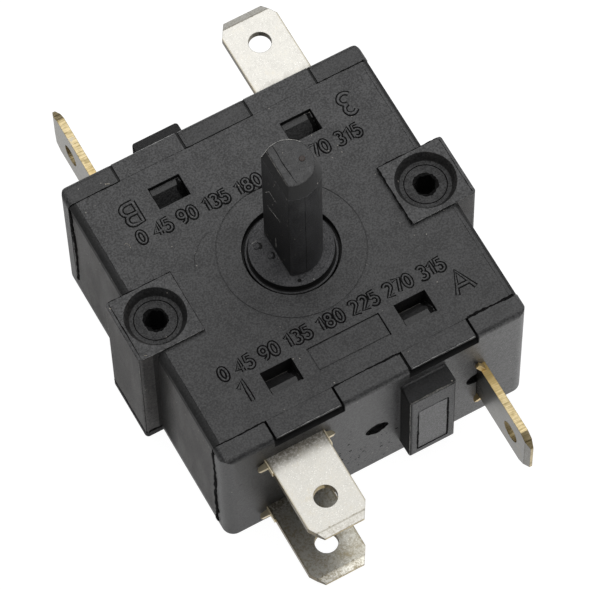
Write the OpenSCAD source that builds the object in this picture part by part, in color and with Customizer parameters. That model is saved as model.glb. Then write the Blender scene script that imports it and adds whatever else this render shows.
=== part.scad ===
// Rotary selector switch: a moulded snap-fit case, a D shaft and five 6.3 mm blade terminals.
// X runs between the two mounting bosses, Y from the front wall to the rear wall, Z up the shaft.
// The origin is on the shaft axis, in the face that the switch rests on.
// Everything is drawn down from the top face of the cover, and lift() stands the drawing on that origin.

/* [Case] */
// Width of the base along X
base_x = 33.6; // [32.5:0.25:35]
// Depth of the base over its front and rear walls
base_y = 34; // [33:0.25:36]
// Height from the resting face to the top face of the cover
body_h = 17.5; // [17.2:0.1:19]
// Thickness of the floor
floor_t = 1; // [0.8:0.1:1.2]
// Thickness of the front and rear walls
wall_t = 2.2; // [2:0.1:2.6]
// Radius of the case's upright corners
corner_r = 1.2; // [0.8:0.1:1.6]
// Radius of the upper outer edge of the walls
wall_edge_r = 0.65; // [0.3:0.05:1]

/* [Cover] */
// Thickness of the cover plate
plate_t = 1.4; // [1.2:0.1:1.5]
// Thickness of the side skirts
skirt_t = 1.4; // [1.2:0.1:1.6]
// How far each skirt stands proud of the base
cover_lip = 0.05; // [0:0.05:0.4]
// Radius of the long upper edges of the cover
cover_edge_r = 1; // [0.5:0.1:1.3]
// Part of a quarter turn that the rounding takes, in degrees, before it ends at the sharp long edge
cover_edge_turn = 46; // [30:2:60]
// How much narrower each side of the cover is at its top than at its foot
skirt_draft = 0.2; // [0:0.05:0.3]
// Clearance between cover and base at the seams
seam_gap = 0.08; // [0.05:0.01:0.15]
// Width of a tongue
tongue_w = 7.1; // [6:0.1:8]
// Gap beside a tongue in its notch
tongue_gap = 0.25; // [0.1:0.05:0.4]
// Distance between the centres of the two tongues on one wall
tongue_pitch = 14.8; // [14:0.1:15.5]
// Thickness of a tongue
tongue_t = 1; // [0.8:0.1:1.2]
// Depth of the notch that a tongue lies in
notch_depth = 1.45; // [1.3:0.05:1.8]

/* [Mounting bosses] */
// Distance between the two mounting holes
boss_pitch = 30; // [29.5:0.1:30.5]
// Width of a boss along Y
boss_w = 7.1; // [6.8:0.1:8]
// Reach of a boss from its hole towards the shaft
boss_in = 3.5; // [3.2:0.1:3.7]
// Reach of a boss from its hole outwards
boss_out = 3.7; // [3.5:0.1:4.5]
// Height of the seat above the cover
seat_rise = 0.4; // [0.2:0.1:1]
// Radius of the boss's outer upright corners
boss_r = 0.4; // [0.3:0.1:1.2]
// Diameter of the counterbore at the seat
counterbore_d = 6.2; // [5.8:0.1:6.4]
// Diameter of the counterbore's floor
counterbore_floor_d = 5.15; // [4.8:0.05:5.5]
// Depth of the counterbore
counterbore_depth = 0.92; // [0.6:0.02:1.2]
// Width across flats of the hexagonal screw entry
hex_af = 2.3; // [2.3:0.05:2.6]
// Depth of the hexagonal entry below the counterbore
hex_depth = 4; // [2:0.5:5]
// Diameter of the pilot hole for a thread-forming screw
pilot_d = 2.2; // [1.8:0.1:2.2]
// Length of the pilot hole
pilot_length = 8; // [6:0.5:10]

/* [Cover windows] */
// Distance of a window's centre from the shaft along X
window_x = 7.37; // [7.2:0.01:7.6]
// Distance of a window's centre from the shaft along Y
window_y = 11.38; // [11.2:0.01:11.5]
// Length of a window along X
window_w = 3.45; // [3:0.05:3.8]
// Width of a window along Y
window_d = 2.55; // [2.2:0.05:2.8]
// Depth of the catch that the housing holds up in each window
catch_depth = 0.35; // [0.2:0.05:0.6]
// Depth of the rim round the inner part of a window
rim_depth = 2.6; // [2:0.1:2.7]

/* [Latch] */
// Distance of the keeper's centre from the shaft along X
keeper_x = 5.06; // [4.8:0.02:5.3]
// Width of the keeper
keeper_w = 5.2; // [5:0.1:5.8]
// How far the keeper stands out from the wall
keeper_out = 2.1; // [1.8:0.1:2.5]
// Depth of the keeper's top
keeper_top = 2.45; // [2.2:0.05:2.8]
// Height of the keeper's lower end above the resting face
keeper_foot = 2.3; // [2.2:0.1:2.8]
// Width of the keeper's window
latch_w = 3.35; // [3:0.05:3.6]
// Depth of the window's upper edge
latch_top = 5.3; // [5:0.1:6]
// Height of the window's lower edge above the resting face
latch_sill = 3.5; // [3.3:0.1:4.5]
// Thickness of the latch leg
leg_t = 1.2; // [1:0.05:1.3]

/* [Shaft] */
// Diameter of the shaft
shaft_d = 6.15; // [5.8:0.05:6.35]
// Size across the flat of the D shaft
shaft_flat = 4.65; // [4.3:0.05:5]
// Height of the shaft above the cover
shaft_h = 18.3; // [8:0.1:25]
// Depth of the taper at the shaft's end
shaft_chamfer = 0.6; // [0.2:0.05:0.8]
// Length of the taper at the shaft's end
shaft_taper = 1.7; // [0.5:0.1:2.5]
// Diameter of the hub that shows in the cover's hole
hub_d = 8.46; // [8:0.02:8.8]
// Height of the hub's face above the cover
hub_rise = 0.45; // [0.2:0.05:0.8]
// Depth of the journal's face below the cover
journal_depth = 0.45; // [0.3:0.05:0.7]
// Diameter of the hole in the cover's top face
hub_hole_d = 9.8; // [9.7:0.02:10.2]
// Depth of the wide part of the hole in the cover
hub_hole_depth = 1; // [0.8:0.05:1.3]
// Diameter of the bearing bore below it
bearing_d = 9.3; // [9.1:0.05:9.4]
// Length of the bearing collar below the plate
collar_h = 1.3; // [0.8:0.1:1.5]

/* [Terminals] */
// Width of a blade
blade_w = 6.3; // [6.1:0.05:6.4]
// Thickness of a blade
blade_t = 0.8; // [0.7:0.05:0.9]
// Distance of the flat blades' centres from the shaft along X
flat_x = 9.16; // [8.9:0.02:9.2]
// Depth of the upper flat blades' top face
upper_depth = 3.2; // [3:0.05:3.3]
// Height of the lower flat blade's top face above the resting face
lower_height = 2.9; // [2.6:0.05:3]
// Distance from the shaft to the tip of a flat blade
flat_tip = 26.9; // [25:0.1:29]
// Distance from the tip back to the hole of a flat blade
flat_hole_back = 3.75; // [3.4:0.05:4.2]
// Diameter of the hole in a blade
blade_hole_d = 2.36; // [1.6:0.02:2.6]
// Distance of the upright blades from the shaft along X
upright_x = 11.64; // [11.6:0.02:11.8]
// Depth of the upright blades' centre line
upright_depth = 9.9; // [9.9:0.05:10.2]
// Distance from the shaft to the tip of the front upright blade
front_upright_tip = 26.9; // [25:0.1:29]
// Distance from the shaft to the tip of the rear upright blade
rear_upright_tip = 28.6; // [25:0.1:30]
// Distance from the tip back to the hole of the front upright blade
front_hole_back = 3.4; // [3.2:0.1:4.8]
// Distance from the tip back to the hole of the rear upright blade
rear_hole_back = 4.2; // [3.2:0.1:4.8]
// Width of the corner cut at a blade's tip
tip_cut_w = 1; // [0.6:0.1:1.4]
// Length of the corner cut at a blade's tip
tip_cut_l = 1.6; // [1:0.1:2]
// Length of the bevel at a blade's tip
tip_bevel_l = 0.8; // [0.5:0.05:1.2]
// Depth of the bevel on each side of the tip
tip_bevel_t = 0.25; // [0.1:0.05:0.3]
// Reach of a staked lug beyond the blade's edge
lug_w = 1.35; // [0.8:0.05:1.45]
// Length of a staked lug along the blade
lug_l = 0.75; // [0.6:0.05:1.2]

/* [Mechanism] */
// Number of detent positions in a turn
detents = 8; // [8:4:12]
// Radius of the detent wheel over its crests
detent_r = 8.9; // [8.7:0.05:9]
// Depth of a detent notch
detent_depth = 1.1; // [0.9:0.05:1.1]
// Thickness of a detent spring
detent_spring_t = 0.3; // [0.2:0.05:0.35]
// Radius of the cam flanges
flange_r = 9.3; // [9.2:0.05:9.4]
// Thickness of a cam flange
flange_t = 0.6; // [0.5:0.05:0.7]
// Height of a cam lobe
lobe_h = 1; // [0.8:0.05:1]
// Thickness of a contact arm
arm_t = 0.25; // [0.2:0.05:0.3]
// Width of a contact arm
arm_w = 3; // [2.6:0.1:3.1]
// Open gap between two contacts
contact_gap = 0.55; // [0.4:0.05:0.6]
// Height of a contact button
button_h = 0.5; // [0.4:0.05:0.55]
// Radius of a contact button
button_r = 1.4; // [1:0.1:1.5]

/* [Hidden] */
$fn = 72;

PLASTIC = [0.16, 0.16, 0.17];
PLASTIC_COVER = [0.22, 0.22, 0.23];
CAM_WHITE = [0.85, 0.84, 0.8];
TINNED = [0.78, 0.77, 0.73];
SPRING_BRASS = [0.78, 0.6, 0.3];
SILVER = [0.9, 0.9, 0.88];
SPRING_STEEL = [0.6, 0.61, 0.62];

// A cut reaches this far past the face that it opens
past = 1;
// Running clearance of the shaft's two bearings, on the radius
running_gap = 0.06;
// Sliding clearance of a strip in its slot, on each side
slot_gap = 0.05;

half_x = base_x / 2;
half_y = base_y / 2;
wall_in = half_y - wall_t;
floor_top = floor_t - body_h;
cover_half_x = half_x + cover_lip;
cover_half_y = wall_in - seam_gap;
skirt_in = cover_half_x - skirt_t;
hole_x = boss_pitch / 2;
boss_edge_x = hole_x + boss_out;

keeper_bottom = body_h - keeper_foot;
latch_bottom = body_h - latch_sill;
lower_depth = body_h - lower_height;

// Corner blocks of the base, which hold the terminals
block_in = 11.4;
block_from_x = 5;
block_to_x = skirt_in - 0.15;
block_depth = plate_t + 0.3;
block_edge_r = 0.4;

// Catch in a window: a level top and a slope of 45 degrees towards the shaft
catch_gap = 0.12;
catch_out = window_y + window_d / 2 - catch_gap;
catch_top = 0.68;
catch_slope = 1.45;
rim_t = 0.45;

// Latch leg and the channel that it flexes in
leg_outer = half_y - 0.7;
leg_inner = leg_outer - leg_t;
latch_gap = 0.1;
channel_in = leg_inner - keeper_out - 0.1;

// Heights of the two contact arms, from the blades that they close on
upper_arm_top = -upper_depth - blade_t - button_h - contact_gap - button_h;
lower_arm_bottom = -lower_depth + button_h + contact_gap + button_h;
arm_y = 9.4;
arm_end = flat_x + button_r + 0.1;
nose_share = 0.113;
nose_rise = nose_share * (lower_depth - upper_depth - blade_t);
nose_foot = 1.6;
nose_tip = 0.5;
// Faces of the two flanges that the noses rest over
nose_gap = 0.15;
upper_track = upper_arm_top - arm_t - nose_rise - nose_gap;
lower_track = lower_arm_bottom + arm_t + nose_rise + nose_gap;
track_in = flange_r - 1.3;
detent_mid = (upper_track + lower_track) / 2;

// Detent notch, as a wide arc cut in the wheel
notch_r = 4.5;
detent_gap = 0.08;
detent_spring_x = 9.75;
detent_spring_half = 12.4;
detent_side_gap = 0.15;
detent_spring_h = upper_track - lower_track - 2 * (flange_t + detent_side_gap);
detent_nose_foot = 2.4;
detent_nose_tip = 0.4;
valley_r = detent_r - detent_depth;

// Spindle below the cover
journal_r = bearing_d / 2 - running_gap;
collar_bottom = -plate_t - collar_h;
axial_play = 0.1;
shoulder_r = 5.9;
shoulder_t = 0.8;
shoulder_top = collar_bottom - axial_play;
stem_r = 4.6;
drum_hub_r = 5.4;
square_w = 6;
drum_top = upper_track;
drum_bottom = lower_track - 0.9;
pivot_r = 2.5;
post_r = 4.2;
post_top = drum_bottom - axial_play;
pivot_bottom = floor_top + 0.2;
stem_bottom = post_top + axial_play;

// Upright terminals inside the case
plate_end = arm_y - arm_w / 2;
foot_t = blade_t;
foot_end = 9.6;
rivet_x = (foot_end + upright_x - blade_t / 2) / 2;
rivet_r = 0.5;
rivet_head_r = 0.75;
rivet_head_h = 0.3;
rivet_gap = 0.02;

// Stands the finished drawing on the resting face
module lift() {
    translate([0, 0, body_h]) children();
}

// Half a turn about the shaft takes each feature of the front wall to the rear wall
module front_and_rear() {
    for (turn = [0, 180]) rotate(turn) children();
}

// Rectangle of w by h about the origin, with all four corners rounded
module round_rect(w, h, r) {
    square([w - 2 * r, h], center = true);
    square([w, h - 2 * r], center = true);
    for (x = [-1, 1], y = [-1, 1]) translate([x * (w / 2 - r), y * (h / 2 - r)]) circle(r);
}

// Rectangle hanging from the X axis, with its two upper corners rounded
module round_top(w, h, r) {
    translate([-w / 2, -h]) square([w, h - r]);
    translate([r - w / 2, -h]) square([w - 2 * r, h]);
    for (x = [-1, 1]) translate([x * (w / 2 - r), -r]) circle(r);
}

// Stands a profile drawn in X and Z up, centred along Y
module along_y(length) {
    rotate([90, 0, 0]) linear_extrude(length, center = true) children();
}

// Stands a profile drawn in Y and Z up, centred along X
module along_x(length) {
    rotate([90, 0, 90]) linear_extrude(length, center = true) children();
}

// Box between two corners
module box(from, to) {
    translate(from) cube(to - from);
}

// Plan of one boss, with its outer corners rounded
module boss_plan() {
    translate([hole_x - boss_in, -boss_w / 2]) square([boss_in + boss_out - boss_r, boss_w]);
    translate([hole_x - boss_in, boss_r - boss_w / 2]) square([boss_in + boss_out, boss_w - 2 * boss_r]);
    for (y = [-1, 1]) translate([boss_edge_x - boss_r, y * (boss_w / 2 - boss_r)]) circle(boss_r);
}

// Outer form of the base: rounded in plan and along its upper edges
module case_envelope() {
    intersection() {
        translate([0, 0, -body_h]) linear_extrude(body_h) round_rect(base_x, base_y, corner_r);
        along_y(base_y) round_top(base_x, body_h, wall_edge_r);
        along_x(base_x) round_top(base_y, body_h, wall_edge_r);
    }
}

// Keeper: a strap on the wall, rounded all over its outer edges
module keeper() {
    keeper_r = 0.45;
    height = keeper_bottom - keeper_top;
    fall = 0.3;
    intersection() {
        translate([keeper_x, -half_y - keeper_out / 2, -(keeper_top + keeper_bottom) / 2]) {
            linear_extrude(height, center = true) {
                translate([0, 1]) round_rect(keeper_w, keeper_out + 2, keeper_r);
            }
        }
        translate([keeper_x, 0, -(keeper_top + keeper_bottom) / 2]) along_y(base_y + 2 * keeper_out) {
            round_rect(keeper_w, height, keeper_r);
        }
        along_x(base_x) difference() {
            translate([-half_y - keeper_out / 2 + 1, -(keeper_top + keeper_bottom) / 2]) {
                round_rect(keeper_out + 2, height, keeper_r);
            }
            polygon([[-half_y, past - keeper_top], [-half_y, -keeper_top],
                [-half_y - keeper_out - past, -keeper_top - fall * (keeper_out + past) / keeper_out],
                [-half_y - keeper_out - past, past - keeper_top]]);
        }
        box([-half_x, -half_y - keeper_out - past, -body_h], [half_x, -wall_in, 0]);
    }
}

// Notches in the wall's top that the cover's tongues lie in
module tongue_notches() {
    for (x = [-1, 1]) {
        translate([x * tongue_pitch / 2 - tongue_w / 2 - tongue_gap, -half_y - past, -notch_depth]) {
            cube([tongue_w + 2 * tongue_gap, wall_t + 2 * past, notch_depth + past]);
        }
    }
}

// Channel that the latch leg flexes in, and the window that its hook fills
module latch_channel() {
    channel_w = latch_w + 2 * latch_gap;
    box([keeper_x - channel_w / 2, -leg_outer - latch_gap, -latch_bottom - 0.2],
        [keeper_x + channel_w / 2, -channel_in, past]);
    box([keeper_x - latch_w / 2, -half_y - keeper_out - past, -latch_bottom],
        [keeper_x + latch_w / 2, -half_y + past, -latch_top]);
}

// Block behind the wall, on the side of the sign of x
module corner_block(side) {
    scale([side, 1, 1]) intersection() {
        box([block_from_x, -wall_in - past / 2, floor_top - floor_t / 2],
            [block_to_x, -block_in, -block_depth]);
        along_x(2 * base_x) {
            translate([-block_in - base_y / 2, -block_depth]) round_top(base_y, body_h, block_edge_r);
        }
    }
}

// Catch on a corner block, standing in the cover's window
module window_catch(side) {
    slope_from = catch_top - catch_out;
    bottom = 0.25 - upper_depth;
    translate([side * window_x, 0, 0]) along_x(window_w - 2 * catch_gap) {
        polygon([[-catch_out, bottom], [-catch_out, -catch_depth], [slope_from, -catch_depth],
            [slope_from + catch_slope, -catch_depth - catch_slope], [slope_from + catch_slope, bottom]]);
    }
}

// Slot for a flat blade at a depth, on the side of the sign of x
module flat_slot(side, depth) {
    box([side * flat_x - blade_w / 2 - slot_gap, -half_y - past, -depth - blade_t - slot_gap],
        [side * flat_x + blade_w / 2 + slot_gap, -block_in + past, -depth + slot_gap]);
}

// Slot for the upright blade
module upright_slot() {
    box([upright_x - blade_t / 2 - slot_gap, -half_y - past, -upright_depth - blade_w / 2 - slot_gap],
        [upright_x + blade_t / 2 + slot_gap, -block_in + past, -upright_depth + blade_w / 2 + slot_gap]);
}

// Lens-shaped core hole in the wall's outer face
module eye_hole(x) {
    eye_w = 2.35;
    eye_h = 1.8;
    eye_r = (eye_w * eye_w / 4 + eye_h * eye_h / 4) / eye_h;
    eye_depth = 1.2;
    below_cover = 9.5;
    translate([x, -half_y, -below_cover]) rotate([90, 0, 0]) translate([0, 0, -eye_depth]) {
        linear_extrude(eye_depth + past) intersection_for (s = [-1, 1]) {
            translate([0, s * (eye_r - eye_h / 2)]) circle(eye_r);
        }
    }
}

// Open-topped slots in the corner blocks that hold the ends of the detent springs
module detent_slots() {
    for (x = [-1, 1]) scale([x, 1, 1]) {
        slot_floor = detent_mid - detent_spring_h / 2 - slot_gap;
        box([detent_spring_x - slot_gap, -detent_spring_half - 0.1, slot_floor],
            [detent_spring_x + detent_spring_t + slot_gap, -block_in + past, past - block_depth]);
    }
}

module base_housing() {
    color(PLASTIC) difference() {
        union() {
            difference() {
                case_envelope();
                box([-half_x - past, -wall_in, floor_top], [half_x + past, wall_in, past]);
            }
            front_and_rear() {
                translate([0, 0, -body_h]) linear_extrude(floor_t) boss_plan();
                keeper();
                for (side = [-1, 1]) {
                    corner_block(side);
                    window_catch(side);
                }
            }
            translate([0, 0, floor_top - floor_t / 2]) {
                cylinder(h = post_top - floor_top + floor_t / 2, r = post_r);
            }
        }
        front_and_rear() {
            tongue_notches();
            latch_channel();
            upright_slot();
            detent_slots();
            for (x = [0, upright_x - blade_t / 2]) eye_hole(x);
        }
        flat_slot(-1, upper_depth);
        flat_slot(-1, lower_depth);
        rotate(180) flat_slot(-1, upper_depth);
        translate([0, 0, floor_top]) cylinder(h = post_top - floor_top + past, r = pivot_r + running_gap);
    }
}

// Plate and skirts as one bent profile: part of a rounding, a sharp edge and a drafted side
module cover_shell() {
    top_half_x = cover_half_x - skirt_draft;
    level_x = top_half_x - cover_edge_r * sin(cover_edge_turn);
    steps = 8;
    rounding = [for (i = [0 : steps]) let (turn = cover_edge_turn * i / steps)
        [level_x + cover_edge_r * sin(turn), cover_edge_r * (cos(turn) - 1)]];
    along_y(2 * cover_half_y) difference() {
        for (side = [-1, 1]) scale([side, 1]) {
            polygon(concat([[-past, floor_top], [-past, 0]], rounding, [[cover_half_x, floor_top]]));
        }
        translate([-skirt_in, floor_top - past]) square([2 * skirt_in, -floor_top - plate_t + past]);
    }
}

// Rim under the plate round the inner part of a window, clear of the corner block
module window_rim(side) {
    rim_in = window_y - window_d / 2 - rim_t;
    translate([side * window_x, 0, 0]) {
        box([-window_w / 2 - rim_t, 0.1 - block_in, -rim_depth],
            [window_w / 2 + rim_t, -rim_in, -plate_t / 2]);
    }
}

// A tongue with a small chamfer on its front edge, drawn in below to slide over the wall
module tongue(x) {
    chamfer = 0.12;
    undercut = 0.5;
    front = half_y - 0.15;
    translate([x, 0, 0]) along_x(tongue_w) {
        polygon([[-cover_half_y + 0.5, 0], [chamfer - front, 0], [-front, -chamfer],
            [-front, -2 * chamfer], [undercut - front, -tongue_t], [-cover_half_y + 0.5, -tongue_t]]);
    }
}

// Latch leg: a strip below the tongue, with a hook that fills the keeper's window
module latch_leg() {
    hook_w = latch_w - 2 * latch_gap;
    hook_top = -latch_top - latch_gap;
    hook_bottom = -latch_bottom + latch_gap;
    hook_out = half_y + keeper_out - 0.04;
    lead = 1.4;
    translate([keeper_x, 0, 0]) along_x(hook_w) {
        polygon([[-leg_inner, -tongue_t / 2], [-leg_outer, -tongue_t / 2], [-leg_outer, hook_top],
            [-hook_out, hook_top], [-hook_out, hook_bottom], [-leg_inner - lead / 2, hook_bottom],
            [-leg_inner, hook_bottom + lead]]);
    }
}

// Counterbore, hexagonal entry and pilot hole of one boss
module screw_hole() {
    translate([hole_x, 0, seat_rise]) {
        translate([0, 0, -counterbore_depth]) {
            cylinder(h = counterbore_depth, d1 = counterbore_floor_d, d2 = counterbore_d);
            translate([0, 0, -hex_depth]) rotate(30) {
                cylinder(h = hex_depth + past / 4, d = hex_af / cos(30), $fn = 6);
            }
            translate([0, 0, -hex_depth - pilot_length]) cylinder(h = pilot_length, d = pilot_d);
        }
        cylinder(h = past, d = counterbore_d);
    }
}

// Shallow mould line of a core pin in the counterbore's floor
module core_ring() {
    ring_r = 2.14;
    ring_w = 0.1;
    ring_depth = 0.06;
    translate([hole_x, 0, seat_rise - counterbore_depth - ring_depth]) difference() {
        cylinder(h = 2 * ring_depth, r = ring_r + ring_w / 2);
        translate([0, 0, -ring_depth]) cylinder(h = 4 * ring_depth, r = ring_r - ring_w / 2);
    }
}

// Shallow mould line of the ring insert round the shaft
module insert_ring() {
    ring_r = 7.37;
    ring_w = 0.12;
    ring_depth = 0.06;
    translate([0, 0, -ring_depth]) difference() {
        cylinder(h = 2 * ring_depth, r = ring_r + ring_w / 2);
        translate([0, 0, -ring_depth]) cylinder(h = 4 * ring_depth, r = ring_r - ring_w / 2);
    }
}

// Shallow frame of the bare panel between the two front windows
module panel_frame() {
    frame_w = 8;
    frame_d = 2.65;
    line = 0.14;
    depth = 0.08;
    translate([0, -window_y, -depth]) linear_extrude(2 * depth) difference() {
        square([frame_w, frame_d], center = true);
        square([frame_w - 2 * line, frame_d - 2 * line], center = true);
    }
}

module cover() {
    boss_edge_r = 0.12;
    color(PLASTIC_COVER) difference() {
        union() {
            cover_shell();
            front_and_rear() {
                for (x = [-1, 1]) tongue(x * tongue_pitch / 2);
                for (side = [-1, 1]) window_rim(side);
                latch_leg();
                intersection() {
                    translate([0, 0, floor_top]) linear_extrude(seat_rise - floor_top) boss_plan();
                    translate([0, 0, seat_rise]) along_y(base_y) {
                        round_top(2 * boss_edge_x, seat_rise - floor_top, boss_edge_r);
                    }
                    translate([0, 0, seat_rise]) along_x(2 * base_x) {
                        round_top(boss_w, seat_rise - floor_top, boss_edge_r);
                    }
                }
            }
            translate([0, 0, collar_bottom]) {
                cylinder(h = -collar_bottom - plate_t / 2, r = shoulder_r + 0.4);
            }
        }
        front_and_rear() {
            screw_hole();
            core_ring();
            for (x = [-1, 1]) translate([x * window_x, -window_y, 0]) {
                cube([window_w, window_d, 2 * rim_depth + past], center = true);
            }
        }
        translate([0, 0, collar_bottom - past]) cylinder(h = past - collar_bottom, d = bearing_d);
        translate([0, 0, -hub_hole_depth]) cylinder(h = hub_hole_depth + past, d = hub_hole_d);
        insert_ring();
        panel_frame();
    }
}

// Shaft, hub, journal, shoulder, square drive and lower pivot in one moulding
module spindle() {
    flat_side = shaft_flat - shaft_d / 2;
    flat_lean = 0.6 * shaft_chamfer;
    color(PLASTIC) {
        difference() {
            union() {
                translate([0, 0, -journal_depth]) {
                    cylinder(h = shaft_h + journal_depth - shaft_taper, d = shaft_d);
                }
                translate([0, 0, shaft_h - shaft_taper]) {
                    cylinder(h = shaft_taper, d1 = shaft_d, d2 = shaft_d - 2 * shaft_chamfer);
                }
            }
            along_y(2 * shaft_d) {
                polygon([[-shaft_d, hub_rise], [-flat_side, hub_rise], [-flat_side, shaft_h - shaft_taper],
                    [flat_lean - flat_side, shaft_h], [flat_lean - flat_side, shaft_h + past],
                    [-shaft_d, shaft_h + past]]);
            }
        }
        translate([0, 0, -journal_depth]) cylinder(h = journal_depth + hub_rise, d = hub_d);
        translate([0, 0, shoulder_top]) cylinder(h = -journal_depth - shoulder_top, r = journal_r);
        translate([0, 0, shoulder_top - shoulder_t]) cylinder(h = shoulder_t, r = shoulder_r);
        translate([0, 0, drum_top]) cylinder(h = shoulder_top - drum_top, r = stem_r);
        box([-square_w / 2, -square_w / 2, stem_bottom], [square_w / 2, square_w / 2, drum_top]);
        translate([0, 0, pivot_bottom]) cylinder(h = stem_bottom - pivot_bottom + past, r = pivot_r);
    }
}

// A lobe with sloped flanks on a flange's face, centred on an angle
module lobe(angle, level, up) {
    foot = 3.4;
    top = 1.8;
    translate([0, 0, level]) scale([1, 1, up]) intersection() {
        translate([0, 0, -flange_t / 2]) difference() {
            cylinder(h = lobe_h + flange_t / 2, r = flange_r);
            translate([0, 0, -past]) cylinder(h = lobe_h + flange_t + 2 * past, r = track_in);
        }
        rotate(angle) translate([flange_r, 0, 0]) along_x(2 * flange_r) {
            polygon([[-foot, -flange_t], [-foot, 0], [-top, lobe_h],
                [top, lobe_h], [foot, 0], [foot, -flange_t]]);
        }
    }
}

// Cam drum: two flanges with face lobes, and the notched detent wheel between them
module cam_drum() {
    upper_lobes = [135, 225];
    lower_lobes = [135, 180];
    drum_h = drum_top - drum_bottom;
    color(CAM_WHITE) difference() {
        union() {
            translate([0, 0, drum_bottom]) cylinder(h = drum_h, r = drum_hub_r);
            translate([0, 0, upper_track - flange_t]) cylinder(h = flange_t, r = flange_r);
            translate([0, 0, lower_track]) cylinder(h = flange_t, r = flange_r);
            for (a = upper_lobes) lobe(a, upper_track, 1);
            for (a = lower_lobes) lobe(a, lower_track, -1);
            translate([0, 0, lower_track]) linear_extrude(upper_track - lower_track) difference() {
                circle(detent_r);
                for (i = [0 : detents - 1]) rotate(i * 360 / detents) {
                    translate([valley_r + notch_r, 0]) circle(notch_r);
                }
            }
        }
        translate([0, 0, drum_bottom - past]) linear_extrude(drum_h + 2 * past) {
            square(square_w + 2 * rivet_gap, center = true);
        }
    }
}

// Leaf spring along Y with a formed nose that drops into the detent notches
module detent_spring() {
    inner = [[detent_spring_x, -detent_spring_half], [detent_spring_x, -detent_nose_foot],
        [valley_r + detent_gap, -detent_nose_tip], [valley_r + detent_gap, detent_nose_tip],
        [detent_spring_x, detent_nose_foot], [detent_spring_x, detent_spring_half]];
    outer = [for (i = [len(inner) - 1 : -1 : 0]) inner[i] + [detent_spring_t, 0]];
    color(SPRING_STEEL) translate([0, 0, detent_mid - detent_spring_h / 2]) linear_extrude(detent_spring_h) {
        polygon(concat(inner, outer));
    }
}

// Blade lying along -Y from its tip to its inner end, its thickness centred on the XY plane
module blade(tip, inner_end, hole_back) {
    difference() {
        translate([0, 0, -blade_t / 2]) linear_extrude(blade_t) difference() {
            polygon([[-blade_w / 2, -inner_end], [-blade_w / 2, tip_cut_l - tip],
                [tip_cut_w - blade_w / 2, -tip], [blade_w / 2 - tip_cut_w, -tip],
                [blade_w / 2, tip_cut_l - tip], [blade_w / 2, -inner_end]]);
            translate([0, hole_back - tip]) circle(d = blade_hole_d);
        }
        for (side = [-1, 1]) scale([1, 1, side]) along_x(2 * blade_w) {
            polygon([[tip_bevel_l - tip, blade_t / 2], [tip_bevel_l - tip, blade_t], [-tip - past, blade_t],
                [-tip - past, blade_t / 2 - tip_bevel_t * (1 + past / tip_bevel_l)]]);
        }
    }
}

// Two lugs staked down against the wall beside the blade
module staked_lugs() {
    lug_t = blade_t * 0.55;
    lean = 32;
    end_cut = lug_l * 0.3;
    for (side = [-1, 1]) scale([side, 1, 1]) {
        translate([blade_w / 2 - 0.2, -half_y - lug_l - seam_gap, 0]) rotate([0, lean, 0]) {
            translate([0, 0, -lug_t / 2]) linear_extrude(lug_t) {
                polygon([[0, 0], [lug_w, lug_l - 2 * end_cut], [lug_w, lug_l - end_cut],
                    [lug_w - end_cut, lug_l], [0, lug_l]]);
            }
        }
    }
}

// Flat blade with its lugs and its contact hole, at a depth on the left of the front wall
module flat_terminal(depth) {
    color(TINNED) translate([-flat_x, 0, -depth - blade_t / 2]) difference() {
        union() {
            blade(flat_tip, plate_end, flat_hole_back);
            staked_lugs();
        }
        translate([0, -arm_y, -blade_t]) cylinder(h = 2 * blade_t, r = rivet_r + rivet_gap);
    }
}

// Upright blade with an inner plate and a foot above and below for the contact arms
module upright_terminal(tip, hole_back) {
    foot_top = upper_arm_top - arm_t;
    foot_bottom = lower_arm_bottom + arm_t;
    foot_y = [-arm_y - arm_w / 2, -plate_end];
    color(TINNED) difference() {
        union() {
            translate([upright_x, 0, -upright_depth]) rotate([0, 90, 0]) {
                blade(tip, arm_y, hole_back);
                staked_lugs();
            }
            box([upright_x - blade_t / 2, foot_y[0], foot_bottom],
                [upright_x + blade_t / 2, foot_y[1], foot_top]);
            box([foot_end, foot_y[0], foot_top - foot_t], [upright_x, foot_y[1], foot_top]);
            box([foot_end, foot_y[0], foot_bottom], [upright_x, foot_y[1], foot_bottom + foot_t]);
        }
        translate([rivet_x, -arm_y, -body_h]) cylinder(h = body_h, r = rivet_r + rivet_gap);
    }
}

// Contact arm along X, on the foot of an upright terminal, with a follower nose over the cam track
module contact_arm_strip() {
    top = [[upright_x - blade_t / 2 - slot_gap, 0], [nose_foot, 0], [nose_tip, -nose_rise],
        [-nose_tip, -nose_rise], [-nose_foot, 0], [-arm_end, 0]];
    under = [for (i = [len(top) - 1 : -1 : 0]) top[i] - [0, arm_t]];
    translate([0, -arm_y, 0]) difference() {
        along_y(arm_w) polygon(concat(top, under));
        for (x = [rivet_x, -flat_x]) translate([x, 0, -past]) {
            cylinder(h = 2 * past, r = rivet_r + rivet_gap);
        }
    }
}

module upper_arm() {
    color(SPRING_BRASS) translate([0, 0, upper_arm_top]) contact_arm_strip();
}

module lower_arm() {
    color(SPRING_BRASS) translate([0, 0, lower_arm_bottom]) scale([1, 1, -1]) contact_arm_strip();
}

// Contact rivet standing up from z = 0, with its shank and tail through a strip of thickness t
module contact_rivet(t) {
    dome = 0.15;
    cylinder(h = button_h - dome, r = button_r);
    translate([0, 0, button_h - dome]) cylinder(h = dome, r1 = button_r, r2 = button_r - 0.4);
    translate([0, 0, -t - rivet_head_h / 2]) cylinder(h = t + rivet_head_h / 2, r = rivet_r);
    translate([0, 0, -t - rivet_head_h / 2]) cylinder(h = rivet_head_h / 2, r = rivet_head_r);
}

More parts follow.
